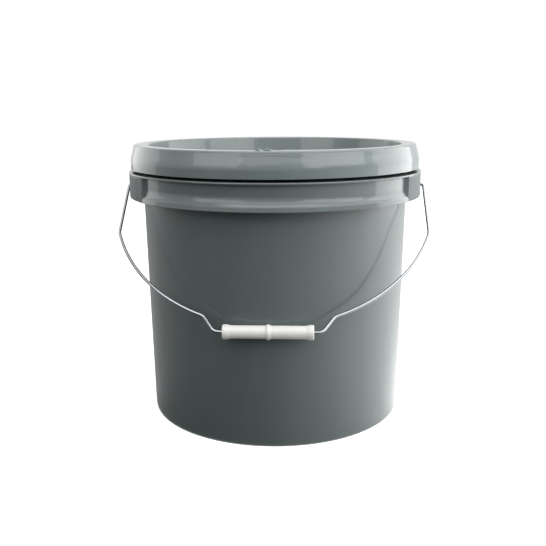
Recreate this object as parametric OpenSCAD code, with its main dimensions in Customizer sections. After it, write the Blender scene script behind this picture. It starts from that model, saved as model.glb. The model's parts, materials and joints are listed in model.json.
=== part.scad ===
// Plastic fermenting bucket with a press-on lid and a wire bail.
// The bucket stands on z = 0 with its axis on Z. The ears are on the X axis, and the
// bail hangs in front, towards -Y, with its grip against the wall.

/* [Bucket] */
// Height of the bucket, from the surface it stands on to its rim
bucket_h = 285; // [230:1:345]
// Outside diameter of the wall where it meets the base
base_d = 273.8; // [225:0.2:330]
// Outside diameter of the wall at the rim
mouth_d = 283.8; // [235:0.2:342]
// Thickness of the wall
wall = 2; // [1.6:0.1:2.4]
// Thickness of the floor
floor_t = 2.4; // [2:0.1:3.2]
// Height of the foot ring that the bucket stands on
foot_h = 4; // [3:0.1:6]
// Width of the foot ring
foot_w = 8; // [6:0.5:12]
// Outside radius of the corner between wall and foot ring
base_corner_r = 2.4; // [1:0.1:4]
// Number of ribs under the floor
floor_ribs = 12; // [6:1:16]

/* [Rim and collar] */
// How far the rim bead stands out of the wall
bead_w = 5.7; // [4:0.1:7]
// Height of the rim bead
bead_h = 4.6; // [3.6:0.1:6]
// Distance from the rim down to the top of the collar
collar_drop = 23.5; // [20:0.5:30]
// Height of the collar
collar_h = 26.7; // [22:0.1:34]
// How far the collar reaches out from the wall
collar_reach = 14.5; // [13:0.1:18]
// Thickness of the collar's flange and skirt
collar_t = 2.2; // [1.8:0.1:2.6]
// How far the collar's skirt is set back from its lip
skirt_inset = 4.4; // [3:0.1:6]
// How far the collar's hem is set back from its lip
hem_inset = 1; // [0.8:0.1:1]
// Height of the lip along the collar's top edge
lip_h = 2; // [1.8:0.1:3]
// Height of the hem along the collar's bottom edge
hem_h = 4.6; // [3.6:0.1:6]
// Radius of the hollow curve between skirt and hem
flare_r = 12; // [8:0.5:16]
// Number of places for gussets inside the collar; the two at the ears stay empty
gusset_places = 24; // [12:4:32]
// Thickness of a gusset
gusset_t = 1.6; // [1.2:0.1:2.4]
// Height of the gussets under the flange
gusset_h = 12; // [8:0.5:16]

/* [Ears] */
// Arc that each ear panel covers, in degrees
ear_arc = 64.7; // [40:0.1:76]
// How far each ear panel is turned from its hole, in degrees
ear_turn = 3; // [0:0.1:6]
// How far an ear panel stands out from the hem
ear_proud = 0.4; // [0.4:0.1:0.6]
// Width of the slope at each end of an ear panel
ear_slope_w = 3; // [1:0.5:6]
// How far the ear hole lies below the middle of the collar
ear_drop = 3.4; // [0:0.1:5]
// Diameter of the boss behind the ear hole
ear_boss_d = 14; // [11:0.5:17]
// How far the boss stands inwards from the panel
ear_boss_in = 2.4; // [1.5:0.1:3]
// Gap between the wire and the ear hole, all round
ear_hole_gap = 0.5; // [0.2:0.05:0.8]

/* [Lid] */
// Thickness of the lid
lid_t = 1.8; // [1.5:0.1:2.2]
// Gap between the lid's skirt and the collar
lid_gap = 2.9; // [2:0.1:4]
// Height over which the lid's side leans outwards, from its top down
lid_lean_h = 16.8; // [14:0.1:20]
// How far the lid's side leans out over that height
lid_lean_w = 3.3; // [2.5:0.1:4.5]
// Radius of the lid's top edges
lid_edge_r = 2.1; // [1:0.1:2.6]
// Depth of the well inside the lid's ring
well_depth = 17; // [14:0.5:22]
// How far the well's wall leans in from top to bottom
well_lean = 1.6; // [0.8:0.1:2.4]
// Width of the gutter round the raised panel
gutter_w = 14; // [8:0.5:20]
// Height of the raised panel above the gutter
panel_rise = 3; // [2:0.1:4]
// Number of ribs under the lid's panel
lid_ribs = 12; // [8:4:12]
// Number of snap lugs inside the skirt
snap_lugs = 12; // [8:2:18]
// Arc of each snap lug, in degrees
snap_lug_arc = 14; // [8:1:18]
// Gap between the snap lugs and the rim bead
snap_gap = 0.3; // [0.2:0.05:0.5]
// Gap between the rim bead and the lid's band
band_gap = 0.8; // [0.6:0.05:1.2]
// Gap between the lid's plug wall and the bucket's mouth
plug_gap = 3.4; // [0.8:0.1:4]
// Thickness of the sealing ring
gasket_t = 2.4; // [2:0.1:3.6]
// Gap on each side of the sealing ring in its channel
gasket_gap = 0.3; // [0.2:0.05:0.5]
// Length of the raised mark at the front of the lid's ring
mark_w = 8; // [5:0.5:12]
// Height of the raised marks
mark_h = 1.2; // [0.5:0.1:1.5]
// Distance between that mark and the shorter one beside it
mark_pitch = 8; // [7.5:0.5:14]

/* [Airlock grommet] */
// Diameter of the hole that takes the airlock's stem
stem_hole_d = 9.5; // [8:0.1:10.5]
// Diameter of the grommet's neck, where it passes the lid
grommet_neck_d = 12.6; // [12:0.1:14]
// Diameter of the grommet's flanges
grommet_flange_d = 19; // [17:0.5:22]
// Thickness of each grommet flange
grommet_flange_t = 2.4; // [1.8:0.1:3]
// Gap between the grommet's neck and the hole in the lid
grommet_gap = 0.1; // [0.05:0.05:0.2]
// Distance of the grommet from the middle of the lid
grommet_offset = 62; // [50:1:80]

/* [Bail] */
// Diameter of the bail's wire
wire_d = 3.2; // [2.6:0.1:4]
// Distance from the collar's edge to the middle of the bail's leg
leg_gap = 4.2; // [3.4:0.1:6]
// How far the middle of the grip clears the collar's edge when the bail is level
hand_room = 35.9; // [30:0.1:50]
// How much larger the bow's radius is than half the width between the legs
bow_spread = 8.3; // [6:0.1:12]
// Depth of the dip in the wire where the grip sits
seat_drop = 5.8; // [4:0.1:8]
// Slope of the wire at the side of the dip, in degrees
seat_slope = 57; // [45:1:65]
// Bend radius at the side of the grip
seat_bend_r = 9; // [7:0.5:12]
// Bend radius between the dip and the bow
bow_bend_r = 10; // [8:0.5:14]
// Bend radius between the bow and the leg
leg_bend_r = 20; // [14:1:30]
// Bend radius of the hook, outside the ear
hook_bend_r = 4; // [3:0.1:5]
// Bend radius of the hook's tail, inside the ear
tail_bend_r = 3.5; // [3:0.1:4]
// Length of the straight end of the hook's tail
tail_l = 4; // [2:0.5:5]
// Gap between the hook's tail and the boss
tail_gap = 1.6; // [1:0.1:2.5]

/* [Grip] */
// Length of the grip
grip_l = 86; // [70:1:100]
// Diameter of the grip between its ends
grip_d = 12.6; // [10:0.2:15]
// Diameter of the grip's ends
grip_end_d = 14.4; // [12:0.2:17]
// Length of each end
grip_end_l = 5; // [3:0.5:8]
// Diameter of the ring round the middle of the grip
grip_ring_d = 15.2; // [13:0.2:18]
// Width of that ring
grip_ring_w = 4; // [3:0.5:6]
// Gap between the wire and the grip's bore, all round
grip_bore_gap = 0.4; // [0.2:0.05:0.8]
// Gap between each end of the grip and the bend beside it
grip_end_gap = 3; // [1:0.5:5]
// Gap between the grip and the bucket's wall when the bail is down
grip_rest_gap = 0.3; // [0.2:0.1:1]

/* [Hidden] */
$fn = 96;
bucket_colour = [0.40, 0.45, 0.45];
steel_colour = [0.78, 0.79, 0.80];
rubber_colour = [0.10, 0.10, 0.10];
grip_colour = [0.93, 0.93, 0.90];

// Bucket and collar levels and radii
taper = (mouth_d - base_d) / 2 / bucket_h;
floor_top = foot_h + floor_t;
collar_top = bucket_h - collar_drop;
collar_low = collar_top - collar_h;
collar_r = wall_r(collar_top) + collar_reach;
skirt_r = collar_r - skirt_inset;
skirt_in = skirt_r - collar_t;
hem_r = collar_r - hem_inset;
hem_in = hem_r - collar_t;
hem_top = collar_low + hem_h;
flange_low = collar_top - collar_t;
bead_r = wall_r(bucket_h) + bead_w;
mouth_r = wall_r(bucket_h) - wall;
foot_out = wall_r(base_corner_r) - base_corner_r;
foot_in = foot_out - foot_w;
foot_draft = 1;         // how much wider the foot ring is at its root
floor_rib_h = 2;        // how far the ribs stand out of the floor
floor_rib_start = 26;   // where those ribs start, from the axis
rib_t = 1.6;            // thickness of the ribs under the floor and the lid's panel
small_r = 0.8;          // edge radius of thin lips and beads
inner_corner_r = 4;     // radius between wall and floor, inside
flange_corner_r = 2;    // radius between flange and wall
flare_a = acos(1 - (hem_r - skirt_r) / (flare_r + small_r));       // arc on the outside
flare_in_a = acos(1 - (hem_r - skirt_r) / (flare_r + collar_t));   // arc on the inside
flare_top = hem_top + (flare_r + small_r) * sin(flare_a);

// Ears
ear_r = hem_r + ear_proud;
ear_in = ear_r - collar_t;
ear_end_arc = collar_t / ear_r * 180 / PI;
ear_slope_arc = ear_slope_w / skirt_r * 180 / PI;
ear_lift = 0.3;         // how far an ear panel's lower edge lies above the hem's
ear_z = (collar_top + collar_low) / 2 - ear_drop;
ear_hole_r = wire_d / 2 + ear_hole_gap;
boss_face = ear_in - ear_boss_in;
skirt_root = 0.6;       // height of what is left of the skirt above an ear's pocket
gusset_foot = 5;        // how much lower a gusset is at the wall than at the skirt

// Lid levels and radii
lid_top = bucket_h + gasket_t + lid_t;
lid_low = collar_top + lid_gap;
band_in = bead_r + band_gap;
band_r = band_in + lid_t;
plug_r = mouth_r - plug_gap;
well_r = plug_r - lid_t;
well_z = lid_top - well_depth;
well_low_r = well_r - well_lean;
well_corner_r = 3;
panel_r = well_low_r - gutter_w;
panel_z = well_z + panel_rise;
panel_slope_w = 4;      // width of the slope between gutter and panel
lid_rib_h = 3;
lid_rib_start = 19;     // where the ribs under the panel start, from the axis
lug_r = bead_r + snap_gap;
lug_h = 2.6;
lug_drop = 1.2;         // how far the lugs' tops lie below the rim bead
lug_lead = 2;           // height of the sloping lead-in below each lug
lug_top = bucket_h - bead_h - lug_drop;
short_mark = 0.7;       // length of the shorter mark, of the front one's
gate_r = 6;             // moulding gate mark in the middle of lid and floor
gate_t = 0.6;

// Grommet
grommet_r = stem_hole_d / 2;
lid_hole_r = grommet_neck_d / 2 + grommet_gap;

// Bail, drawn in its own plane: u is across, s is the distance from the hinge axis
leg_u = collar_r + leg_gap;
reach = collar_r + hand_room;
bow_r = leg_u + bow_spread;
bow_s = reach - seat_drop - bow_r;
seat_u = grip_l / 2 + grip_end_gap;
bow_start = seat_slope - acos((bow_bend_r + seat_bend_r + seat_u * sin(seat_slope)
    + (reach - seat_bend_r - bow_s) * cos(seat_slope)) / (bow_r + bow_bend_r));
bow_end = asin((leg_u - leg_bend_r) / (bow_r - leg_bend_r));
leg_s = bow_s + (bow_r - leg_bend_r) * cos(bow_end);
tail_u = boss_face - tail_gap - wire_d / 2;

// Angle of the hanging bail from straight down, where the grip meets the wall
rest_r = wall_r(ear_z) + (grip_ring_d / 2 + grip_rest_gap) / cos(atan(taper));
rest_angle = asin(rest_r / reach / sqrt(1 + taper * taper)) - atan(taper);

function wall_r(z) = base_d / 2 + taper * z;
// How far the lid's side stands out at height z, from none at its top to all below the lean
function lean(z) = let (t = min(1, (lid_top - z) / lid_lean_h)) lid_lean_w * t * t * (3 - 2 * t);
// A point at radius r and angle a
function polar(r, a) = r * [cos(a), sin(a)];
// The point p on the other side of the X axis
function mirrored(p) = [p[0], -p[1]];
// Points along an arc from angle a0 to a1 about c
function arc(c, r, a0, a1, n = 6) =
    [for (i = [0:n]) let (a = a0 + (a1 - a0) * i / n) c + r * [cos(a), sin(a)]];

// ---- Bucket ----

module bucket_section() {
    bead_low = bucket_h - bead_h;
    polygon(concat(
        [[0, foot_h], [foot_in - foot_draft, foot_h], [foot_in, 0]],
        arc([foot_out, base_corner_r], base_corner_r, -90, 0),
        [[wall_r(flange_low - flange_corner_r), flange_low - flange_corner_r]],
        arc([wall_r(flange_low) + flange_corner_r, flange_low - flange_corner_r],
            flange_corner_r, 180, 90),
        [[skirt_in, flange_low]],
        arc([skirt_r + flare_r, flare_top], flare_r + collar_t, 180, 180 + flare_in_a),
        [[hem_in, collar_low]],
        arc([hem_r - small_r, collar_low + small_r], small_r, -90, 0, 4),
        arc([hem_r - small_r, hem_top], small_r, 0, flare_a, 3),
        arc([skirt_r + flare_r, flare_top], flare_r, 180 + flare_a, 180, 8),
        [[skirt_r, collar_top - lip_h]],
        arc([collar_r - small_r, collar_top - lip_h + small_r], small_r, -90, 0, 4),
        arc([collar_r - small_r, collar_top - small_r], small_r, 0, 90, 4),
        arc([wall_r(collar_top) + flange_corner_r, collar_top + flange_corner_r],
            flange_corner_r, 270, 180),
        [[wall_r(bead_low), bead_low]],
        arc([bead_r - small_r, bead_low + small_r], small_r, -90, 0, 4),
        arc([bead_r - small_r, bucket_h - small_r], small_r, 0, 90, 4),
        arc([mouth_r + small_r, bucket_h - small_r], small_r, 90, 180, 4),
        arc([wall_r(floor_top) - wall - inner_corner_r, floor_top + inner_corner_r],
            inner_corner_r, 0, -90),
        [[0, floor_top]]
    ));
}

// A block of the collar, from radius r0 to r1 and height z0 to z1, centred on +X
module collar_block(r0, r1, z0, z1, a) {
    rotate([0, 0, -a / 2])
        rotate_extrude(angle = a)
            translate([r0, z0]) square([r1 - r0, z1 - z0]);
}

// An ear's panel before its pocket is cut, nearly flush with lip and hem. Its ends slope
// from the panel's face back to the skirt.
module ear_block() {
    half = ear_arc / 2;
    foot = polar(skirt_r, half + ear_slope_arc);
    slope = polar(ear_r, half) - foot;
    intersection() {
        collar_block(skirt_in + collar_t / 2, ear_r, collar_low + ear_lift,
            collar_top - lip_h / 2, ear_arc + 4 * ear_slope_arc);
        linear_extrude(bucket_h) polygon([
            foot - slope, foot + 2 * slope, [1.1 * ear_r / cos(half), 0],
            mirrored(foot + 2 * slope), mirrored(foot - slope)
        ]);
    }
}

// The hollow behind an ear's panel, open at the bottom as the collar is
module ear_pocket() {
    collar_block(skirt_in - collar_t / 2, ear_in, collar_low - 1,
        flange_low - skirt_root, ear_arc - 2 * ear_end_arc);
}

module ear_boss() {
    translate([boss_face, 0, ear_z])
        rotate([0, 90, 0])
            cylinder(d = ear_boss_d, h = ear_r - collar_t / 2 - boss_face);
}

module ear_hole() {
    translate([boss_face - 1, 0, ear_z])
        rotate([0, 90, 0])
            cylinder(r = ear_hole_r, h = collar_r - boss_face + 2);
}

// A gusset under the flange, from the wall to radius r
module gusset(r) {
    high = collar_top - collar_t / 2;
    rotate([90, 0, 0])
        linear_extrude(gusset_t, center = true)
            polygon([
                [wall_r(high) - wall / 2, high - gusset_h - gusset_foot],
                [r, high - gusset_h],
                [r, high],
                [wall_r(high) - wall / 2, high]
            ]);
}

// The gussets behind the ears if behind is true, and all the others if not
module gussets(behind) {
    half = gusset_places / 2;
    for (i = [0:gusset_places - 1])
        let (turn = i * 360 / gusset_places, off = min(turn % 180, 180 - turn % 180))
            if (i % half != 0 && (off < ear_arc / 2) == behind)
                rotate([0, 0, turn])
                    gusset((behind ? ear_in : skirt_in) + collar_t / 2);
}

module floor_rib() {
    translate([floor_rib_start, -rib_t / 2, foot_h - floor_rib_h])
        cube([foot_in - floor_rib_start, rib_t, floor_rib_h + floor_t / 2]);
}

module bucket() {
    color(bucket_colour) difference() {
        union() {
            difference() {
                union() {
                    rotate_extrude() bucket_section();
                    for (turn = [0, 180]) rotate([0, 0, turn + ear_turn]) ear_block();
                    rotate([0, 0, ear_turn]) gussets(false);
                }
                for (turn = [0, 180]) rotate([0, 0, turn + ear_turn]) ear_pocket();
            }
            rotate([0, 0, ear_turn]) gussets(true);
            for (turn = [0, 180]) rotate([0, 0, turn]) ear_boss();
            for (i = [0:floor_ribs - 1])
                rotate([0, 0, (i + 0.5) * 360 / floor_ribs]) floor_rib();
            translate([0, 0, foot_h - gate_t]) cylinder(r = gate_r, h = floor_t);
        }
        for (turn = [0, 180]) rotate([0, 0, turn]) ear_hole();
    }
}

// ---- Lid ----

module lid_section() {
    ceiling = lid_top - lid_t;
    side = [for (i = [2:10]) lid_top - lid_lean_h * i / 10];
    polygon(concat(
        [[band_in + lid_lean_w, lid_low], [band_r + lid_lean_w, lid_low]],
        [for (i = [len(side) - 1:-1:0]) [band_r + lean(side[i]), side[i]]],
        arc([band_r - lid_edge_r, lid_top - lid_edge_r], lid_edge_r, 0, 90),
        arc([well_r + lid_edge_r, lid_top - lid_edge_r], lid_edge_r, 90, 180),
        arc([well_low_r - well_corner_r, well_z + well_corner_r], well_corner_r, 0, -90),
        [[panel_r + panel_slope_w, well_z], [panel_r, panel_z], [0, panel_z],
            [0, panel_z - lid_t], [panel_r, panel_z - lid_t],
            [panel_r + panel_slope_w, well_z - lid_t]],
        arc([well_low_r - well_corner_r, well_z + well_corner_r],
            well_corner_r + lid_t, -90, 0),
        [[plug_r, ceiling], [band_in, ceiling]],
        [for (z = side) [band_in + lean(z), z]]
    ));
}

module snap_lug() {
    low = lug_top - lug_h - lug_lead;
    high = lug_top + lug_h / 2;
    rotate([0, 0, -snap_lug_arc / 2])
        rotate_extrude(angle = snap_lug_arc)
            polygon([
                [band_in + lean(low) + lid_t / 2, low],
                [lug_r, lug_top - lug_h / 2],
                [lug_r, lug_top - lug_h / 4],
                [band_in + lean(high) + lid_t / 2, high]
            ]);
}

module lid_rib() {
    translate([lid_rib_start, -rib_t / 2, panel_z - lid_t - lid_rib_h])
        cube([panel_r - lid_rib_start, rib_t, lid_rib_h + lid_t / 2]);
}

// One raised mark of length w on the lid's ring, turned from the front
module ring_mark(turn, w) {
    mark_r = (w * w / 4 + mark_h * mark_h) / 2 / mark_h;
    half_a = asin(w / 2 / mark_r);
    rotate([0, 0, -90 + turn])
        translate([well_r + lid_edge_r / 2, 0, lid_top])
            rotate([90, 0, 90])
                linear_extrude((band_r - well_r) / 3)
                    polygon(concat([[-w / 2, -lid_t / 2]],
                        arc([0, mark_h - mark_r], mark_r, 90 + half_a, 90 - half_a, 8),
                        [[w / 2, -lid_t / 2]]));
}

module lid() {
    color(bucket_colour) difference() {
        union() {
            rotate_extrude() lid_section();
            for (i = [0:snap_lugs - 1])
                rotate([0, 0, (i + 0.5) * 360 / snap_lugs]) snap_lug();
            for (i = [0:lid_ribs - 1])
                rotate([0, 0, (i + 0.5) * 360 / lid_ribs]) lid_rib();
            ring_mark(0, mark_w);
            ring_mark(-mark_pitch / well_r * 180 / PI, mark_w * short_mark);
            translate([0, 0, panel_z - lid_t / 2])
                cylinder(r = gate_r, h = lid_t / 2 + gate_t);
        }
        translate([0, grommet_offset, panel_z - 2 * lid_t])
            cylinder(r = lid_hole_r, h = 4 * lid_t);
    }
}

module lid_gasket() {
    inner = plug_r + gasket_gap;
    color(rubber_colour)
        translate([0, 0, bucket_h])
            rotate_extrude()
                translate([inner, 0]) square([band_in - gasket_gap - inner, gasket_t]);
}

module airlock_grommet() {
    flange_r = grommet_flange_d / 2;
    low = panel_z - lid_t;
    color(rubber_colour)
        translate([0, grommet_offset, 0])
            rotate_extrude()
                polygon(concat(
                    [[grommet_r, low - grommet_flange_t],
                        [flange_r - small_r, low - grommet_flange_t],
                        [flange_r, low - grommet_flange_t + small_r], [flange_r, low],
                        [grommet_neck_d / 2, low], [grommet_neck_d / 2, panel_z],
                        [flange_r, panel_z]],
                    arc([flange_r - small_r, panel_z + grommet_flange_t - small_r],
                        small_r, 0, 90, 4),
                    [[grommet_r, panel_z + grommet_flange_t]]
                ));
}

// ---- Bail ----

// Puts the bail's plane where the bail hangs, and the hinge axis through the ears
module hanging() {
    translate([0, 0, ear_z]) rotate([90 - rest_angle, 0, 0]) mirror([0, 1, 0]) children();
}

// A straight stretch of wire between two points of the bail's plane
module wire_line(from, to) {
    along = to - from;
    translate(from)
        rotate([0, 90, atan2(along[1], along[0])])
            cylinder(d = wire_d, h = norm(along), $fn = 32);
}

// A bend in the bail's plane about c, from angle a0 to a1 with a1 above a0, a hair
// thicker than the wire and running on past each end, so that it laps its neighbours
module wire_bend(c, r, a0, a1, thicker = 0.02, past = 0.25) {
    past_a = past / r * 180 / PI;
    translate(c)
        rotate([0, 0, a0 - past_a])
            rotate_extrude(angle = a1 - a0 + 2 * past_a, $fn = 64)
                translate([r, 0]) circle(r = wire_d / 2 + thicker, $fn = 32);
}

// A wire heading of h degrees, measured from u towards the hinge axis
function across(h) = [sin(h), cos(h)];

module half_bail() {
    bow_c = [0, bow_s];
    seat_c = [seat_u, reach - seat_bend_r];
    dip_c = bow_c + (bow_r + bow_bend_r) * across(bow_start);
    leg_c = bow_c + (bow_r - leg_bend_r) * across(bow_end);
    wire_bend(seat_c, seat_bend_r, 90 - seat_slope, 90);
    wire_line(seat_c + seat_bend_r * across(seat_slope),
        dip_c - bow_bend_r * across(seat_slope));
    wire_bend(dip_c, bow_bend_r, 270 - seat_slope, 270 - bow_start);
    wire_bend(bow_c, bow_r, 90 - bow_end, 90 - bow_start, 0, 0);
    wire_bend(leg_c, leg_bend_r, 0, 90 - bow_end);
    wire_line([leg_u, leg_s], [leg_u, hook_bend_r]);
    wire_bend([leg_u - hook_bend_r, hook_bend_r], hook_bend_r, -90, 0);
    wire_line([leg_u - hook_bend_r, 0], [tail_u + tail_bend_r, 0]);
    wire_bend([tail_u + tail_bend_r, tail_bend_r], tail_bend_r, 180, 270);
    wire_line([tail_u, tail_bend_r], [tail_u, tail_bend_r + tail_l]);
}

module bail_wire() {
    color(steel_colour) hanging() {
        wire_line([-seat_u, reach], [seat_u, reach]);
        half_bail();
        mirror([1, 0, 0]) half_bail();
    }
}

module bail_grip() {
    bore_r = wire_d / 2 + grip_bore_gap;
    half = grip_l / 2;
    body_r = grip_d / 2;
    end_r = grip_end_d / 2;
    ring_h = grip_ring_d / 2 - body_r;
    taper_l = 2.5;      // length of the flare from body to end
    color(grip_colour) hanging()
        translate([0, reach, 0])
            rotate([0, 90, 0])
                rotate_extrude()
                    polygon(concat(
                        [[bore_r, -half], [end_r - small_r, -half],
                            [end_r, -half + small_r], [end_r, -half + grip_end_l],
                            [body_r, -half + grip_end_l + taper_l]],
                        [for (i = [0:12]) let (a = 180 * i / 12)
                            [body_r + ring_h * sin(a), -cos(a) * grip_ring_w / 2]],
                        [[body_r, half - grip_end_l - taper_l],
                            [end_r, half - grip_end_l], [end_r, half - small_r],
                            [end_r - small_r, half], [bore_r, half]]
                    ));
}

bucket();
lid();
lid_gasket();
airlock_grommet();
bail_wire();
bail_grip();
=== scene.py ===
"""Finishes for a plastic fermenting bucket: moulded grey plastic, ribbed ears, plated wire and a white grip.

The bucket, lid, wire and seals come from the frame. This script gives them their finishes, adds the fine
shapes that the frame leaves out, and puts the bucket in a plain studio. All sizes are in metres.
"""

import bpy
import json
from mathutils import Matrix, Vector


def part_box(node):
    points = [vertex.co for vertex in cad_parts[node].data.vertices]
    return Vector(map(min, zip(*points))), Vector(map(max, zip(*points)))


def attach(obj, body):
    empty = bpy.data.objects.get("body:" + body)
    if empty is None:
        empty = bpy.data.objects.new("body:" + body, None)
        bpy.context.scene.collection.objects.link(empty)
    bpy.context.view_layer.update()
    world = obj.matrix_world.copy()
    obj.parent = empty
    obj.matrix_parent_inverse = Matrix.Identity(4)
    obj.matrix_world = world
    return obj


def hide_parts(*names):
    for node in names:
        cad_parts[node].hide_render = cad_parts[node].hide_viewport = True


bl_info = {
    "name": "Fermenting Bucket",
    "version": (1, 0, 0),
    "blender": (4, 5, 0),
    "location": "3D View > Sidebar > Bucket",
    "description": "Finishes a fermenting bucket and sets it in a plain studio",
    "category": "Object",
}

import json
import math
import random

import bmesh
import bpy
from mathutils import Matrix, Vector

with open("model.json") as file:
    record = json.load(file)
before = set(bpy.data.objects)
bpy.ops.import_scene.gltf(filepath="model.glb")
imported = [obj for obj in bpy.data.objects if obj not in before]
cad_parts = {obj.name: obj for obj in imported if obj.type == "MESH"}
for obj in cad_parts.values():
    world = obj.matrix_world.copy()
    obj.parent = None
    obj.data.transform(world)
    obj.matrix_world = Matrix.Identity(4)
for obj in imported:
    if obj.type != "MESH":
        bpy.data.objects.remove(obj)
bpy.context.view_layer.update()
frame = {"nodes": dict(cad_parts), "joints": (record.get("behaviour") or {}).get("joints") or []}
MM = 0.001


def joint_at(name):
    """The point that a joint of the frame turns about."""
    return Vector(next(j for j in frame["joints"] if j["name"] == name)["pos_m"])


EAR_HOLE = joint_at("bail_swing")
GRIP_MIDDLE = joint_at("grip_spin")
GRIP_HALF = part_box("bail_grip")[1].x
LIP_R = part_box("bucket")[1].y   # the collar's lip is the widest part of the bucket

RIB_SEED = 7
RIB_FADE = 1.2 * MM             # length over which the ribs die out at hem, lip and hole
SKIN_T = 0.5 * MM               # how far the back of a skin lies inside the plastic
PANEL_EDGE = 0.5 * MM           # half the width over which the lid's panel turns dull
GRIP_CORNER = 1.0 * MM          # radius of the rounded edges at the grip's ends
SHARP = math.radians(35)        # edges that turn by more than this stay sharp


# ---- Settings ----


class PlasticSettings(bpy.types.PropertyGroup):
    """Finish of the bucket and its lid."""

    colour: bpy.props.FloatVectorProperty(
        name="Colour", description="Colour of the moulded plastic", subtype="COLOR",
        size=3, min=0, max=1, default=(0.105, 0.129, 0.128))
    roughness: bpy.props.FloatProperty(
        name="Roughness", description="Roughness of the polished plastic",
        min=0, max=1, default=0.28, subtype="FACTOR")
    lid_tint: bpy.props.FloatProperty(
        name="Lid Tint", description="How much lighter the lid's plastic is than the bucket's",
        min=0.5, max=2, default=1.25)
    peel: bpy.props.FloatProperty(
        name="Orange Peel", description="Height of the fine ripple left by the mould",
        min=0, max=1e-4, default=0.000003, subtype="DISTANCE", unit="LENGTH")
    sink: bpy.props.FloatProperty(
        name="Sink", description="Height of the broad waves left as the bucket cools",
        min=0, max=1e-3, default=0.00015, subtype="DISTANCE", unit="LENGTH")
    lid_sink: bpy.props.FloatProperty(
        name="Lid Sink", description="Height of the broad waves left as the lid cools",
        min=0, max=2e-3, default=0.0015, subtype="DISTANCE", unit="LENGTH")
    panel_radius: bpy.props.FloatProperty(
        name="Panel Radius", description="Radius of the dull panel in the middle of the lid",
        default=123 * MM, subtype="DISTANCE", unit="LENGTH")
    panel_roughness: bpy.props.FloatProperty(
        name="Panel Roughness", description="Extra roughness of the lid's panel",
        min=0, max=0.6, default=0.3, subtype="FACTOR")


class EarSettings(bpy.types.PropertyGroup):
    """Ribbed skins on the two ears."""

    arc: bpy.props.FloatProperty(
        name="Arc", description="Arc that each ribbed skin covers",
        default=math.radians(64.1), subtype="ANGLE", unit="ROTATION")
    turn: bpy.props.FloatProperty(
        name="Turn", description="How far each ear is turned from the bail's hole",
        default=math.radians(3), subtype="ANGLE", unit="ROTATION")
    low: bpy.props.FloatProperty(
        name="Low Edge", description="How far the skin's lower edge lies below the bail's hole",
        default=9.4 * MM, subtype="DISTANCE", unit="LENGTH")
    high: bpy.props.FloatProperty(
        name="High Edge", description="How far the skin's upper edge lies above the bail's hole",
        default=14.5 * MM, subtype="DISTANCE", unit="LENGTH")
    pitch: bpy.props.FloatProperty(
        name="Pitch", description="Distance from one rib to the next",
        default=2.4 * MM, subtype="DISTANCE", unit="LENGTH")
    relief: bpy.props.FloatProperty(
        name="Relief", description="How far a rib stands out",
        default=0.34 * MM, subtype="DISTANCE", unit="LENGTH")
    inset: bpy.props.FloatProperty(
        name="Inset", description="How far the ear's face lies behind the lip's edge",
        default=0.5 * MM, subtype="DISTANCE", unit="LENGTH")
    hole_margin: bpy.props.FloatProperty(
        name="Hole Margin", description="Radius of the plain disc round the bail's hole",
        default=4.2 * MM, subtype="DISTANCE", unit="LENGTH")


class HemSettings(bpy.types.PropertyGroup):
    """Rounded skins along the hem of the collar, between the ears."""

    arc: bpy.props.FloatProperty(
        name="Arc", description="Arc that each skin covers",
        default=math.radians(115.0), subtype="ANGLE", unit="ROTATION")
    radius: bpy.props.FloatProperty(
        name="Radius", description="Radius of the skin's upper edge",
        default=155.05 * MM, subtype="DISTANCE", unit="LENGTH")
    lean: bpy.props.FloatProperty(
        name="Lean", description="How much wider the skin is at its foot",
        default=0.55 * MM, subtype="DISTANCE", unit="LENGTH")
    foot: bpy.props.FloatProperty(
        name="Foot", description="Height of the skin's foot above the floor",
        default=234.75 * MM, subtype="DISTANCE", unit="LENGTH")
    height: bpy.props.FloatProperty(
        name="Height", description="Height of the skin",
        default=4.75 * MM, subtype="DISTANCE", unit="LENGTH")
    corner: bpy.props.FloatProperty(
        name="Corner", description="Radius of the skin's rounded edges",
        default=0.6 * MM, subtype="DISTANCE", unit="LENGTH")


class GripSettings(bpy.types.PropertyGroup):
    """The turned shape of the grip."""

    radius: bpy.props.FloatProperty(
        name="Radius", description="Radius of the grip's plain parts",
        default=6.3 * MM, subtype="DISTANCE", unit="LENGTH")
    bore: bpy.props.FloatProperty(
        name="Bore", description="Radius of the hole that the wire runs through",
        default=2.0 * MM, subtype="DISTANCE", unit="LENGTH")
    flare: bpy.props.FloatProperty(
        name="Flare", description="How far the ends swell beyond the plain parts",
        default=0.88 * MM, subtype="DISTANCE", unit="LENGTH")
    flare_length: bpy.props.FloatProperty(
        name="Flare Length", description="Length of each flared end",
        default=8.5 * MM, subtype="DISTANCE", unit="LENGTH")
    bead: bpy.props.FloatProperty(
        name="Bead", description="How far the middle bead swells beyond the plain parts",
        default=1.26 * MM, subtype="DISTANCE", unit="LENGTH")
    bead_width: bpy.props.FloatProperty(
        name="Bead Width", description="Width of the middle bead",
        default=6.4 * MM, subtype="DISTANCE", unit="LENGTH")
    seam: bpy.props.FloatProperty(
        name="Seam", description="Height of the two seams left by the halves of the mould",
        default=0.10 * MM, subtype="DISTANCE", unit="LENGTH")
    seam_angle: bpy.props.FloatProperty(
        name="Seam Angle", description="How far the front seam lies below the middle of the front",
        default=math.radians(26.25), subtype="ANGLE", unit="ROTATION")


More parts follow.
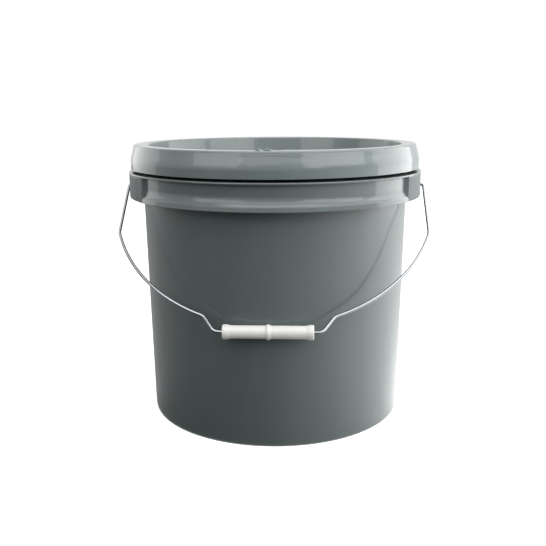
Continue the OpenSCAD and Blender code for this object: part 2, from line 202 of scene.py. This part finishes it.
class StudioSettings(bpy.types.PropertyGroup):
    """Camera, lamps and floor."""

    distance: bpy.props.FloatProperty(
        name="Distance", description="Level distance from the bucket's axis to the camera",
        default=0.8213, subtype="DISTANCE", unit="LENGTH")
    height: bpy.props.FloatProperty(
        name="Height", description="Height of the camera above the floor",
        default=0.3302, subtype="DISTANCE", unit="LENGTH")
    azimuth: bpy.props.FloatProperty(
        name="Azimuth", description="How far the camera stands round from the front",
        default=math.radians(2.8), subtype="ANGLE", unit="ROTATION")
    pitch: bpy.props.FloatProperty(
        name="Pitch", description="How far the camera looks down",
        default=math.radians(12.7), subtype="ANGLE", unit="ROTATION")
    roll: bpy.props.FloatProperty(
        name="Roll", description="How far the camera leans to the right",
        default=math.radians(0.29), subtype="ANGLE", unit="ROTATION")
    lens: bpy.props.FloatProperty(
        name="Lens", description="Focal length on a 36 mm sensor, in millimetres",
        default=49.58, min=10)
    shift: bpy.props.FloatProperty(
        name="Shift", description="Sideways shift of the lens", default=-0.0046)
    fill: bpy.props.FloatProperty(
        name="Fill", description="Level of the light that comes from all round", default=0.10, min=0)
    floor_white: bpy.props.FloatProperty(
        name="Floor White", description="How bright the floor looks by itself, where 1 is white",
        default=0.93, min=0, max=1, subtype="FACTOR")


# Each lamp: name, azimuth from the front towards +X and elevation in degrees, distance, width, height, level
LAMPS = (
    ("high_front", 36, 60, 1.15, 2.80, 1.30, 1.20),
    ("wall_right", 106, 16, 1.10, 1.00, 0.80, 2.4),
    ("wall_left", -117, 12, 1.10, 0.90, 0.60, 0.95),
    ("window_right", 49, 25, 1.70, 1.45, 0.62, 2.5),
    ("window_left", -42, 25, 1.70, 1.05, 0.62, 1.8),
    ("top", 0, 86, 1.20, 1.20, 1.20, 1.1),
)
LAMP_AIM = Vector((0, 0, 0.15))
WATTS = 4                       # watts for each square metre of a lamp at level 1
SENSOR = 36                     # width of the camera's sensor, in millimetres
FLOOR_HALF = 6                  # half the length of the floor's sides
CARD_RADII = (0.139, 3.5)       # inner and outer radius of the table card
CARD_LIFT = 0.3 * MM            # height of the table card above the floor

# How bright the table card glows towards each azimuth, in degrees from the front towards +X
CARD_GLOW = ((-180, 0.6), (-150, 0.3), (-130, 0.42), (-90, 0.36), (-60, 0.15), (-30, 0.03), (0, 0.08),
             (30, 0.6), (60, 1.5), (85, 2.0), (110, 1.9), (140, 1.2), (180, 0.6))


# ---- Shader maths ----


class Signal:
    """A socket of a node tree. Arithmetic on it adds Math nodes to that tree."""

    def __init__(self, shader, socket):
        self.shader = shader
        self.socket = socket

    def maths(self, operation, *values):
        return self.shader.add("ShaderNodeMath", {"operation": operation}, dict(enumerate(values)))

    def __add__(self, other):
        return self.maths("ADD", self, other)

    def __radd__(self, other):
        return self.maths("ADD", other, self)

    def __sub__(self, other):
        return self.maths("SUBTRACT", self, other)

    def __rsub__(self, other):
        return self.maths("SUBTRACT", other, self)

    def __mul__(self, other):
        return self.maths("MULTIPLY", self, other)

    def __rmul__(self, other):
        return self.maths("MULTIPLY", other, self)

    def __truediv__(self, other):
        return self.maths("DIVIDE", self, other)

    def __rtruediv__(self, other):
        return self.maths("DIVIDE", other, self)

    def at_least(self, other):
        return self.maths("MAXIMUM", self, other)

    def ramped(self, low, high):
        """0 below low, 1 above high, and smooth in between."""
        return self.shader.add(
            "ShaderNodeMapRange", {"interpolation_type": "SMOOTHSTEP"},
            {"Value": self, "From Min": low, "From Max": high})


class Shader:
    """The node tree of a material or a world."""

    def __init__(self, owner):
        owner.use_nodes = True
        self.tree = owner.node_tree
        self.tree.nodes.clear()

    def add(self, kind, settings=None, inputs=None, output=None):
        """Adds a node, sets it up, fills its sockets with numbers or signals, and returns one output."""
        node = self.tree.nodes.new(kind)
        for name, value in (settings or {}).items():
            if name == "stops":
                self.set_stops(node.color_ramp, value)
            else:
                setattr(node, name, value)
        for key, value in (inputs or {}).items():
            socket = self.socket(node.inputs, key)
            if isinstance(value, Signal):
                self.tree.links.new(value.socket, socket)
            else:
                socket.default_value = value
        if not node.outputs:
            return None
        return Signal(self, self.socket(node.outputs, 0 if output is None else output))

    @staticmethod
    def socket(sockets, key):
        """A socket in use, by its name or its place."""
        in_use = [s for s in sockets if s.enabled]
        return in_use[key] if isinstance(key, int) else next(s for s in in_use if s.name == key)

    @staticmethod
    def set_stops(ramp, stops):
        while len(ramp.elements) < len(stops):
            ramp.elements.new(0.5)
        for element, (place, colour) in zip(ramp.elements, stops):
            element.position = place
            element.color = colour

    def place(self):
        """Where a point of the surface lies, in the piece's own metres."""
        return self.add("ShaderNodeTexCoord", output="Object")

    def stretched(self, vector, factors):
        return self.add("ShaderNodeVectorMath", {"operation": "MULTIPLY"}, {0: vector, 1: factors})

    def noise(self, vector, scale, detail, roughness):
        return self.add("ShaderNodeTexNoise", {"noise_dimensions": "3D"}, {
            "Vector": vector, "Scale": scale, "Detail": detail, "Roughness": roughness})

    def part_of(self, vector, axis):
        """The X, Y or Z of a vector."""
        return self.add("ShaderNodeSeparateXYZ", {}, {0: vector}, axis)

    def blend(self, factor, a, b):
        return self.add("ShaderNodeMix", {"data_type": "RGBA"}, {"Factor": factor, "A": a, "B": b})

    def bump(self, height, distance, under=None):
        inputs = {"Height": height, "Distance": distance, "Strength": 1.0}
        if under is not None:
            inputs["Normal"] = under
        return self.add("ShaderNodeBump", {}, inputs)

    def surface(self, **inputs):
        """Ends the tree in a Principled shader. Names such as base_color stand for its sockets."""
        named = {name.replace("_", " ").title().replace("Ior", "IOR"): v for name, v in inputs.items()}
        self.output(self.add("ShaderNodeBsdfPrincipled", {}, named))

    def output(self, shader):
        kind = "ShaderNodeOutputWorld" if self.tree in [w.node_tree for w in bpy.data.worlds] \
            else "ShaderNodeOutputMaterial"
        self.add(kind, {}, {"Surface": shader})


def new_shader(name):
    material = bpy.data.materials.new(name)
    return material, Shader(material)


def shade(colour, factor):
    """An RGBA colour, as much lighter or darker than colour as factor says."""
    return (*[min(1.0, c * factor) for c in colour], 1.0)


# ---- Finishes ----


def polished_plastic(name, settings, sink, offset=0.0, tint=1.0, dull_radius=0.0):
    """Glossy moulded plastic: broad sink waves, orange peel, flow streaks and light rubbing.

    Within the dull radius of the upright axis the gloss gives way to a grained surface.
    """
    material, shader = new_shader(name)
    place = shader.add("ShaderNodeVectorMath", {"operation": "ADD"}, {0: shader.place(), 1: (offset,) * 3})
    flow = shader.noise(shader.stretched(place, (1.0, 1.0, 0.12)), scale=34, detail=3, roughness=0.55)
    cloud = shader.noise(place, scale=11, detail=2, roughness=0.5)
    rubbed = shader.noise(shader.stretched(place, (1.0, 1.0, 2.6)), scale=30, detail=3, roughness=0.5)
    peel = shader.noise(place, scale=520, detail=1.5, roughness=0.5)
    waves = shader.noise(shader.stretched(place, (1.0, 1.0, 1.4)), scale=15, detail=0.5, roughness=0.4)
    tone = flow * 0.55 + cloud * 0.45
    colour = shader.blend(
        tone.ramped(0.3, 0.7), shade(settings.colour, 0.96 * tint), shade(settings.colour, 1.04 * tint))
    roughness = settings.roughness + 0.05 * cloud + 0.03 * rubbed.ramped(0.45, 0.95)
    coat = 0.5
    if dull_radius:
        level = shader.stretched(shader.place(), (1.0, 1.0, 0.0))
        radius = shader.add("ShaderNodeVectorMath", {"operation": "LENGTH"}, {0: level}, "Value")
        dull = 1.0 - radius.ramped(dull_radius - PANEL_EDGE, dull_radius + PANEL_EDGE)
        roughness = roughness + settings.panel_roughness * dull
        coat = coat - coat * dull
    shader.surface(
        base_color=colour,
        roughness=roughness,
        ior=1.4,
        coat_weight=coat,
        coat_roughness=0.05,
        normal=shader.bump(peel, settings.peel, shader.bump(waves, sink)))
    return material


def ribbed_plastic(name, settings):
    """The same plastic where the mould is grained: dull, with a fine tooth, and darkened all over by painted
    shade for the grooves between the ribs.
    """
    material, shader = new_shader(name)
    place = shader.place()
    grain = shader.noise(place, scale=1500, detail=2, roughness=0.6)
    streak = shader.noise(shader.stretched(place, (1.0, 1.0, 0.08)), scale=420, detail=2, roughness=0.6)
    # Painted shade: both colours are darker than the plastic's (0.62 and 0.92 of it) to stand in for the
    # shade in the grooves between the ribs; the streaks that pick between them are the plastic's own uneven
    # tone.
    colour = shader.blend(streak.ramped(0.3, 0.7), shade(settings.colour, 0.62), shade(settings.colour, 0.92))
    shader.surface(
        base_color=colour, roughness=0.42 + 0.12 * grain, ior=1.49,
        normal=shader.bump(grain, 0.03 * MM))
    return material


def plated_wire(name):
    """Zinc on drawn steel wire, its colour kept dark as painted shade for the dark room it reflects: fine
    scratches, a faint blue bloom and dull specks.
    """
    material, shader = new_shader(name)
    place = shader.place()
    bloom = shader.noise(place, scale=60, detail=3, roughness=0.6)
    specks = shader.noise(place, scale=900, detail=4, roughness=0.7).ramped(0.6, 0.75)
    scratches = shader.noise(shader.stretched(place, (0.35, 1.0, 1.0)), scale=2400, detail=2, roughness=0.6)
    # Painted shade: the zinc's colour is kept far below that of bright zinc, so the wire looks as dark as one
    # that reflects a dark room; the bloom between the two tones is the plating's own.
    shaded_zinc = shader.blend(bloom, (0.24, 0.25, 0.265, 1), (0.31, 0.32, 0.33, 1))
    shader.surface(
        base_color=shader.blend(specks * 0.5, shaded_zinc, (0.18, 0.185, 0.20, 1)),
        metallic=1.0,
        roughness=0.10 + 0.10 * bloom + 0.15 * specks,
        normal=shader.bump(scratches, 0.01 * MM))
    return material


def white_plastic(name):
    """Satin white polyethylene, a little greyer where hands have rubbed it."""
    material, shader = new_shader(name)
    place = shader.place()
    handled = shader.noise(place, scale=90, detail=4, roughness=0.6)
    grain = shader.noise(place, scale=900, detail=2, roughness=0.5)
    shader.surface(
        base_color=shader.blend(handled.ramped(0.35, 0.8), (0.76, 0.76, 0.73, 1), (0.71, 0.71, 0.67, 1)),
        roughness=0.34 + 0.12 * handled, ior=1.5,
        normal=shader.bump(grain, 0.012 * MM))
    return material


def black_rubber(name, roughness, pore_scale, pore_depth):
    """Black rubber with fine pores and a dusty bloom."""
    material, shader = new_shader(name)
    place = shader.place()
    pores = shader.noise(place, scale=pore_scale, detail=3, roughness=0.6)
    bloom = shader.noise(place, scale=70, detail=3, roughness=0.6)
    shader.surface(
        base_color=shader.blend(bloom, (0.018, 0.018, 0.019, 1), (0.035, 0.035, 0.034, 1)),
        roughness=roughness + 0.1 * bloom, ior=1.45,
        normal=shader.bump(pores, pore_depth))
    return material


def give(node, material):
    """Puts a material on every slot of a node of the frame."""
    for slot in frame["nodes"][node].material_slots:
        slot.material = material


# ---- Meshes ----


def placed(name, mesh, material):
    """An object of the scene with a mesh and a material."""
    item = bpy.data.objects.new(name, mesh)
    bpy.context.scene.collection.objects.link(item)
    mesh.materials.append(material)
    return item


def new_piece(name, mesh, material, body):
    """A finished piece that rides on a body of the frame."""
    piece = placed(name, mesh, material)
    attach(piece, body)
    return piece


def stage_piece(name, shape, material):
    """A part of the stage, which isn't part of the bucket."""
    mesh = bpy.data.meshes.new(name)
    shape.to_mesh(mesh)
    shape.free()
    piece = placed(name, mesh, material)
    return piece


def grid_shell(front, back):
    """A closed shell between two equal grids of points, each a list of rows."""
    shell = bmesh.new()
    rows, columns = len(front), len(front[0])
    sheets = [[[shell.verts.new(p) for p in row] for row in sheet] for sheet in (front, back)]
    outer, inner = sheets
    for i in range(rows - 1):
        for j in range(columns - 1):
            shell.faces.new((outer[i][j], outer[i][j + 1], outer[i + 1][j + 1], outer[i + 1][j]))
            shell.faces.new((inner[i][j], inner[i + 1][j], inner[i + 1][j + 1], inner[i][j + 1]))
    edge = [(0, j) for j in range(columns)] + [(i, columns - 1) for i in range(1, rows)]
    edge += [(rows - 1, j) for j in range(columns - 2, -1, -1)] + [(i, 0) for i in range(rows - 2, 0, -1)]
    for (i, j), (k, m) in zip(edge, edge[1:] + edge[:1]):
        shell.faces.new((outer[i][j], inner[i][j], inner[k][m], outer[k][m]))
    bmesh.ops.recalc_face_normals(shell, faces=shell.faces)
    return shell


def as_mesh(name, shape):
    """A mesh made of a bmesh, smooth but for its sharp edges."""
    for face in shape.faces:
        face.smooth = True
    for edge in shape.edges:
        edge.smooth = edge.is_manifold and edge.calc_face_angle(0) < SHARP
    mesh = bpy.data.meshes.new(name)
    shape.to_mesh(mesh)
    shape.free()
    return mesh


def smooth_step(x):
    """0 below 0, 1 above 1, and smooth in between."""
    x = min(1.0, max(0.0, x))
    return x * x * (3 - 2 * x)


# ---- Ears ----


def rib_heights(count, seed):
    """A height for each rib, from 0.55 to 1, as uneven as a worn mould leaves them."""
    draw = random.Random(seed)
    return [draw.uniform(0.55, 1.0) for _ in range(count)]


def ear_skin(settings, side):
    """A thin closed skin with upright ribs over one ear, plain round the bail's hole."""
    face_r = LIP_R - settings.inset
    tall = settings.low + settings.high
    count = round(settings.arc * face_r / settings.pitch)
    heights = rib_heights(count, RIB_SEED + side)
    per_rib, rows = 8, 28
    columns = count * per_rib
    proud = 0.03 * MM       # how far the floor between the ribs stands out from the ear's face
    fullness = 0.8          # below 1, a rib's crest is fuller than a wave's
    start = 0.0 if side > 0 else math.pi
    front, back = [], []
    for i in range(rows + 1):
        z = EAR_HOLE.z - settings.low + tall * i / rows
        edge = min(i, rows - i) / rows * tall
        front_row, back_row = [], []
        for j in range(columns + 1):
            turn = settings.turn + settings.arc * (j / columns - 0.5)
            place = j / per_rib
            height = heights[min(count - 1, int(place))]
            crest = 0.5 - 0.5 * math.cos(2 * math.pi * place)
            off_hole = math.hypot(z - EAR_HOLE.z, face_r * turn) - settings.hole_margin
            fade = smooth_step(edge / RIB_FADE) * smooth_step(off_hole / RIB_FADE)
            r = face_r + proud + settings.relief * height * crest ** fullness * fade
            for row, reach in ((front_row, r), (back_row, face_r - SKIN_T)):
                row.append((reach * math.cos(start + turn), reach * math.sin(start + turn), z))
        front.append(front_row)
        back.append(back_row)
    return grid_shell(front, back)


def drilled(mesh, centre, radius):
    """The mesh with a round hole along X through centre."""
    along_x = Matrix.Translation(centre) @ Matrix.Rotation(math.pi / 2, 4, "Y")
    drill = bmesh.new()
    bmesh.ops.create_cone(drill, cap_ends=True, segments=48, radius1=radius, radius2=radius,
                          depth=20 * MM, matrix=along_x)
    drill_mesh = bpy.data.meshes.new("drill")
    drill.to_mesh(drill_mesh)
    drill.free()
    plate, tool = (bpy.data.objects.new(n, m) for n, m in (("plate", mesh), ("drill", drill_mesh)))
    for item in (plate, tool):
        bpy.context.scene.collection.objects.link(item)
    cut = plate.modifiers.new("hole", "BOOLEAN")
    cut.object, cut.operation, cut.solver = tool, "DIFFERENCE", "EXACT"
    result = bpy.data.meshes.new_from_object(plate.evaluated_get(bpy.context.evaluated_depsgraph_get()))
    for item in (plate, tool):
        bpy.data.objects.remove(item)
    return result


# ---- Hem ----


def hem_skin(settings, middle):
    """A closed skin that leans out along the hem, with rounded edges, centred on a heading."""
    rows, columns = 24, 160
    back_r = settings.radius - settings.corner - SKIN_T
    front, back = [], []
    for i in range(rows + 1):
        up = settings.height * i / rows
        edge = max(settings.corner - up, up - settings.height + settings.corner, 0.0)
        rounding = settings.corner - math.sqrt(settings.corner ** 2 - edge ** 2)
        lean = settings.lean * (1 - up / settings.height)
        face_r = settings.radius + lean - rounding
        headings = [middle + settings.arc * (j / columns - 0.5) for j in range(columns + 1)]
        for sheet, r in ((front, face_r), (back, back_r)):
            sheet.append([(r * math.cos(h), r * math.sin(h), settings.foot + up) for h in headings])
    return grid_shell(front, back)


# ---- Grip ----


def grip_radius(settings, x):
    """The grip's radius at a distance x along it from its middle."""
    slope = 0.62            # share of a flared end's length over which it swells
    narrowing = 1.6         # above 1, the bead is narrower at its crest than a wave
    off = abs(x)
    flared = smooth_step((off - GRIP_HALF + settings.flare_length) / (settings.flare_length * slope))
    beaded = max(0.0, math.cos(math.pi * min(0.5, off / settings.bead_width))) ** narrowing
    over = max(0.0, off - GRIP_HALF + GRIP_CORNER)
    rounding = GRIP_CORNER - math.sqrt(max(0.0, GRIP_CORNER ** 2 - over ** 2))
    return settings.radius + settings.flare * flared + settings.bead * beaded - rounding


def turned_grip(settings):
    """A closed hollow grip, turned about X, with a seam along the front and the back."""
    segments, half_rows, corner_rows = 96, 60, 6
    stations = [GRIP_HALF * i / half_rows for i in range(-half_rows, half_rows + 1)]
    rounded = [GRIP_HALF - GRIP_CORNER * (1 - math.sin(math.pi / 2 * i / corner_rows))
               for i in range(corner_rows)]
    stations = sorted(set(stations) | {side * x for x in rounded for side in (-1, 1)})
    outline = [(x, grip_radius(settings, x), True) for x in stations]
    outline += [(x, settings.bore, False) for x in (GRIP_HALF, 0.0, -GRIP_HALF)]
    shape = bmesh.new()
    rings = []
    for x, radius, outside in outline:
        ring = []
        for k in range(segments):
            seam = settings.seam if outside and k % (segments // 2) == 0 else 0.0
            heading = 2 * math.pi * k / segments + math.pi + settings.seam_angle
            reach = radius + seam
            ring.append(shape.verts.new((
                x, GRIP_MIDDLE.y + reach * math.cos(heading), GRIP_MIDDLE.z + reach * math.sin(heading))))
        rings.append(ring)
    for one, two in zip(rings, rings[1:] + rings[:1]):
        for k in range(segments):
            m = (k + 1) % segments
            shape.faces.new((one[k], one[m], two[m], two[k]))
    bmesh.ops.recalc_face_normals(shape, faces=shape.faces)
    return shape


# ---- Operators ----


class BUCKET_OT_finish_plastic(bpy.types.Operator):
    """Give the bucket and its lid their polished plastic"""

    bl_idname = "bucket.finish_plastic"
    bl_label = "Finish Plastic"

    def execute(self, context):
        settings = context.scene.bucket_plastic
        give("bucket", polished_plastic("bucket_plastic_finish", settings, settings.sink))
        give("lid", polished_plastic(
            "lid_plastic_finish", settings, settings.lid_sink,
            offset=0.7, tint=settings.lid_tint, dull_radius=settings.panel_radius))
        return {"FINISHED"}


class BUCKET_OT_rib_ears(bpy.types.Operator):
    """Put a ribbed skin on each of the bucket's ears"""

    bl_idname = "bucket.rib_ears"
    bl_label = "Rib Ears"

    def execute(self, context):
        settings = context.scene.bucket_ears
        material = ribbed_plastic("ribbed_plastic_painted_shade", context.scene.bucket_plastic)
        for name, side in (("ear_ribs_right", 1), ("ear_ribs_left", -1)):
            whole = as_mesh(name, ear_skin(settings, side))
            centre = Vector((side * LIP_R, 0, EAR_HOLE.z))
            skin = drilled(whole, centre, settings.hole_margin - RIB_FADE)
            new_piece(name, skin, material, "bucket")
        return {"FINISHED"}


class BUCKET_OT_round_hem(bpy.types.Operator):
    """Put a leaning, rounded skin on the collar's hem in front and behind"""

    bl_idname = "bucket.round_hem"
    bl_label = "Round Hem"

    def execute(self, context):
        settings = context.scene.bucket_hem
        material = frame["nodes"]["bucket"].material_slots[0].material
        turn = context.scene.bucket_ears.turn
        for name, middle in (("hem_skin_front", -math.pi / 2 + turn), ("hem_skin_back", math.pi / 2 + turn)):
            skin = as_mesh(name, hem_skin(settings, middle))
            new_piece(name, skin, material, "bucket")
        return {"FINISHED"}


class BUCKET_OT_finish_bail(bpy.types.Operator):
    """Give the bail its plated wire and its turned white grip"""

    bl_idname = "bucket.finish_bail"
    bl_label = "Finish Bail"

    def execute(self, context):
        give("bail_wire", plated_wire("plated_wire_painted_shade"))
        shape = as_mesh("turned_grip", turned_grip(context.scene.bucket_grip))
        material = white_plastic("white_plastic_finish")
        grip = new_piece("turned_grip", shape, material, "grip")
        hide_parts("bail_grip")
        return {"FINISHED"}


class BUCKET_OT_finish_seals(bpy.types.Operator):
    """Give the lid's sealing ring and the airlock's grommet their rubber"""

    bl_idname = "bucket.finish_seals"
    bl_label = "Finish Seals"

    def execute(self, context):
        give("lid_gasket", black_rubber(
            "foam_rubber_finish", roughness=0.75, pore_scale=1400, pore_depth=0.06 * MM))
        give("airlock_grommet", black_rubber(
            "moulded_rubber_finish", roughness=0.5, pore_scale=2600, pore_depth=0.02 * MM))
        return {"FINISHED"}


class BUCKET_OT_set_stage(bpy.types.Operator):
    """Add the floor, the lamps, the white surround and the camera"""

    bl_idname = "bucket.set_stage"
    bl_label = "Set Stage"

    def execute(self, context):
        settings = context.scene.bucket_studio
        self.lay_floor(settings)
        self.lay_card()
        self.light_world(context.scene, settings)
        for lamp in LAMPS:
            self.hang_lamp(*lamp)
        self.set_camera(context.scene, settings)
        context.scene.view_settings.view_transform = "Standard"
        return {"FINISHED"}

    @staticmethod
    def shown(shader):
        """1 for what the camera sees, straight or through gloss or glass."""
        rays = [shader.add("ShaderNodeLightPath", output=f"Is {kind} Ray")
                for kind in ("Camera", "Glossy", "Transmission")]
        return rays[0].at_least(rays[1]).at_least(rays[2])

    def lay_floor(self, settings):
        floor = bmesh.new()
        bmesh.ops.create_grid(floor, x_segments=8, y_segments=8, size=FLOOR_HALF)
        material, shader = new_shader("pale_floor")
        matt = shader.add("ShaderNodeBsdfDiffuse", {}, {"Color": (0.8, 0.8, 0.8, 1)})
        white = shader.add("ShaderNodeEmission", {}, {
            "Color": (1, 1, 1, 1), "Strength": self.shown(shader) * settings.floor_white})
        shader.output(shader.add("ShaderNodeAddShader", {}, {0: matt, 1: white}))
        stage_piece("floor", floor, material)

    @staticmethod
    def lay_card():
        """A flat ring round the foot of the bucket, unseen by the camera, that glows more on one side."""
        steps = 96
        headings = [2 * math.pi * i / steps for i in range(steps)]
        card = bmesh.new()
        inner, outer = ([card.verts.new((r * math.cos(h), r * math.sin(h), CARD_LIFT)) for h in headings]
                        for r in CARD_RADII)
        for i in range(steps):
            k = (i + 1) % steps
            card.faces.new((inner[i], outer[i], outer[k], inner[k]))
        material, shader = new_shader("card_glow")
        x, y = (shader.part_of(shader.place(), axis) for axis in "XY")
        azimuth = x.maths("ARCTAN2", x, 0 - y) / (2 * math.pi) + 0.5
        top = max(glow for _, glow in CARD_GLOW)
        stops = [(angle / 360 + 0.5, (glow / top,) * 3 + (1,)) for angle, glow in CARD_GLOW]
        colour = shader.add("ShaderNodeValToRGB", {"stops": stops}, {0: azimuth})
        shader.output(shader.add("ShaderNodeEmission", {}, {"Color": colour, "Strength": top}))
        piece = stage_piece("table_card", card, material)
        piece.visible_camera = False
        piece.visible_shadow = False

    def light_world(self, scene, settings):
        world = bpy.data.worlds.new("studio")
        scene.world = world
        shader = Shader(world)
        fill = shader.add("ShaderNodeBackground", {}, {"Color": (1, 1, 1, 1), "Strength": settings.fill})
        white = shader.add("ShaderNodeBackground", {}, {"Color": (1, 1, 1, 1), "Strength": 1.0})
        shader.output(shader.add("ShaderNodeMixShader", {}, {0: self.shown(shader), 1: fill, 2: white}))

    @staticmethod
    def hang_lamp(name, azimuth, elevation, distance, width, height, level):
        """A softbox that faces the bucket. Its level is the brightness of its face."""
        turn, rise = math.radians(azimuth), math.radians(elevation)
        away = Vector((math.sin(turn) * math.cos(rise), -math.cos(turn) * math.cos(rise), math.sin(rise)))
        light = bpy.data.lights.new(name, "AREA")
        light.shape, light.size, light.size_y = "RECTANGLE", width, height
        light.energy = WATTS * width * height * level
        lamp = bpy.data.objects.new(name, light)
        lamp.location = LAMP_AIM + away * distance
        lamp.rotation_euler = away.to_track_quat("Z", "Y").to_euler()
        bpy.context.scene.collection.objects.link(lamp)

    @staticmethod
    def set_camera(scene, settings):
        data = bpy.data.cameras.new("camera")
        data.lens, data.sensor_width, data.shift_x = settings.lens, SENSOR, settings.shift
        data.clip_start, data.clip_end = 0.01, 50
        camera = bpy.data.objects.new("camera", data)
        spot = Matrix.Rotation(settings.azimuth, 4, "Z") @ Matrix.Translation(
            (0, -settings.distance, settings.height))
        camera.matrix_world = spot @ Matrix.Rotation(math.pi / 2 - settings.pitch, 4, "X") \
            @ Matrix.Rotation(-settings.roll, 4, "Z")
        scene.collection.objects.link(camera)
        scene.camera = camera


STEPS = (
    BUCKET_OT_finish_plastic,
    BUCKET_OT_rib_ears,
    BUCKET_OT_round_hem,
    BUCKET_OT_finish_bail,
    BUCKET_OT_finish_seals,
    BUCKET_OT_set_stage,
)


SETTINGS = {
    "bucket_plastic": PlasticSettings,
    "bucket_ears": EarSettings,
    "bucket_hem": HemSettings,
    "bucket_grip": GripSettings,
    "bucket_studio": StudioSettings,
}


class BUCKET_PT_steps(bpy.types.Panel):
    """The bucket's steps and settings, in the sidebar"""

    bl_idname = "BUCKET_PT_steps"
    bl_label = "Fermenting Bucket"
    bl_space_type = "VIEW_3D"
    bl_region_type = "UI"
    bl_category = "Bucket"

    def draw(self, context):
        for step in STEPS:
            self.layout.operator(step.bl_idname)
        for name in SETTINGS:
            settings, box = getattr(context.scene, name), self.layout.box()
            for field in settings.__annotations__:
                box.prop(settings, field)


def register():
    for kind in (*SETTINGS.values(), *STEPS, BUCKET_PT_steps):
        bpy.utils.register_class(kind)
    for name, kind in SETTINGS.items():
        setattr(bpy.types.Scene, name, bpy.props.PointerProperty(type=kind))


def unregister():
    for name in SETTINGS:
        delattr(bpy.types.Scene, name)
    for kind in reversed((*SETTINGS.values(), *STEPS, BUCKET_PT_steps)):
        bpy.utils.unregister_class(kind)


def main():
    register()
    bpy.ops.bucket.finish_plastic()
    bpy.ops.bucket.rib_ears()
    bpy.ops.bucket.round_hem()
    bpy.ops.bucket.finish_bail()
    bpy.ops.bucket.finish_seals()
    bpy.ops.bucket.set_stage()


if __name__ == "__main__":
    main()
